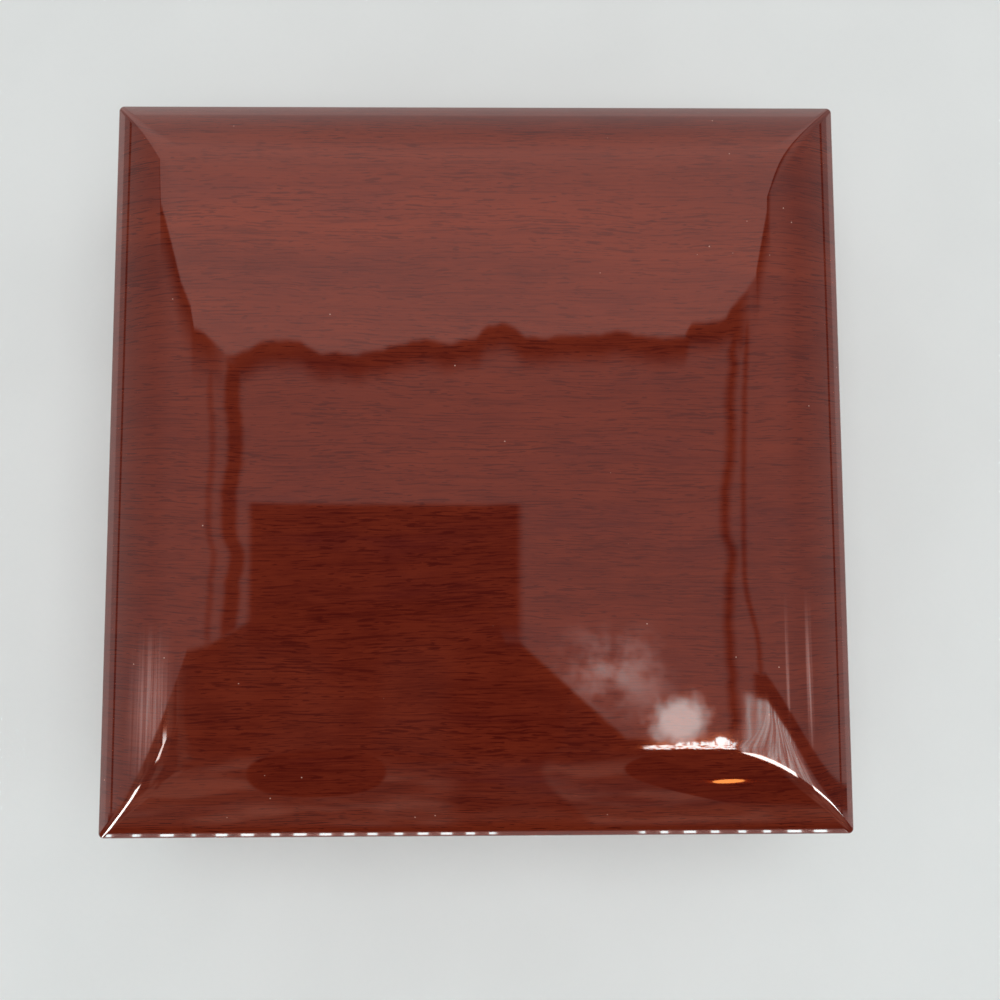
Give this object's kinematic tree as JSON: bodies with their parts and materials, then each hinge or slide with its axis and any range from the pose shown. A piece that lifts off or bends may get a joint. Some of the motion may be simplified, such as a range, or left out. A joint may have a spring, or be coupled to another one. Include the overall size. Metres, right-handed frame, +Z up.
{
  "type": "stacking jewelry box",
  "caption": "Low square jewelry box of stacked tiers in glossy red-brown veneer, with a hinged pillow-top lid, velvet-lined compartments, ring rolls and a mirror in the lid.",
  "frame": {"origin": "on the table, under the middle of the box, in the underside of the base felt", "axes": "+Z up, +X to the right and +Y to the back, where the lid's hinges are"},
  "size_m": [0.203, 0.203, 0.064],
  "materials": {
    "lacquered_veneer": "high-gloss clear lacquer over red-brown veneer",
    "stained_plywood": "stained, matt",
    "base_felt": "pressed felt",
    "velvet_lining": "short-pile velvet over board",
    "ring_roll_velvet": "short-pile velvet over foam",
    "hinge_brass": "polished",
    "mirror": "silvered glass"
  },
  "bodies": {
    "base_tier": {"base_felt": "base_felt", "base_wall_front": "lacquered_veneer", "base_wall_back": "lacquered_veneer", "base_wall_left": "lacquered_veneer", "base_wall_right": "lacquered_veneer", "base_bottom_panel": "stained_plywood", "base_floor_pad": "velvet_lining", "base_liner_front": "velvet_lining", "base_liner_back": "velvet_lining", "base_liner_left": "velvet_lining", "base_liner_right": "velvet_lining", "base_divider_long": "velvet_lining", "base_divider_cross_left": "velvet_lining", "base_divider_cross_right": "velvet_lining"},
    "upper_tier": {"upper_wall_front": "lacquered_veneer", "upper_wall_back": "lacquered_veneer", "upper_wall_left": "lacquered_veneer", "upper_wall_right": "lacquered_veneer", "upper_bottom_panel": "stained_plywood", "upper_floor_pad": "velvet_lining", "upper_liner_front": "velvet_lining", "upper_liner_back": "velvet_lining", "upper_liner_left": "velvet_lining", "upper_liner_right": "velvet_lining", "upper_divider_long": "velvet_lining", "upper_divider_cross_left": "velvet_lining", "upper_divider_cross_right": "velvet_lining", "ring_roll_board": "ring_roll_velvet", "ring_roll_1": "ring_roll_velvet", "ring_roll_2": "ring_roll_velvet", "ring_roll_3": "ring_roll_velvet", "ring_roll_4": "ring_roll_velvet", "ring_roll_5": "ring_roll_velvet", "ring_roll_6": "ring_roll_velvet", "hinge_left_tier_leaf": "hinge_brass", "hinge_left_pin": "hinge_brass", "hinge_left_tier_screw_1": "hinge_brass", "hinge_left_tier_screw_2": "hinge_brass", "hinge_right_tier_leaf": "hinge_brass", "hinge_right_pin": "hinge_brass", "hinge_right_tier_screw_1": "hinge_brass", "hinge_right_tier_screw_2": "hinge_brass"},
    "lid": {"lid_panel": "lacquered_veneer", "lid_rail_front": "lacquered_veneer", "lid_rail_back": "lacquered_veneer", "lid_rail_left": "lacquered_veneer", "lid_rail_right": "lacquered_veneer", "lid_lining": "velvet_lining", "lid_mirror": "mirror", "hinge_left_lid_leaf": "hinge_brass", "hinge_left_lid_screw_1": "hinge_brass", "hinge_left_lid_screw_2": "hinge_brass", "hinge_right_lid_leaf": "hinge_brass", "hinge_right_lid_screw_1": "hinge_brass", "hinge_right_lid_screw_2": "hinge_brass"}
  },
  "joints": [
    {"name": "upper_tier_lift", "type": "slide", "parent": "base_tier", "child": "upper_tier", "axis": [0, 0, 1], "range_m": [0, 0.08]},
    {"name": "lid_hinge", "type": "hinge", "parent": "upper_tier", "child": "lid", "pos_m": [0, 0.099, 0.046], "axis": [-1, 0, 0], "range_deg": [0, 95]}
  ]
}
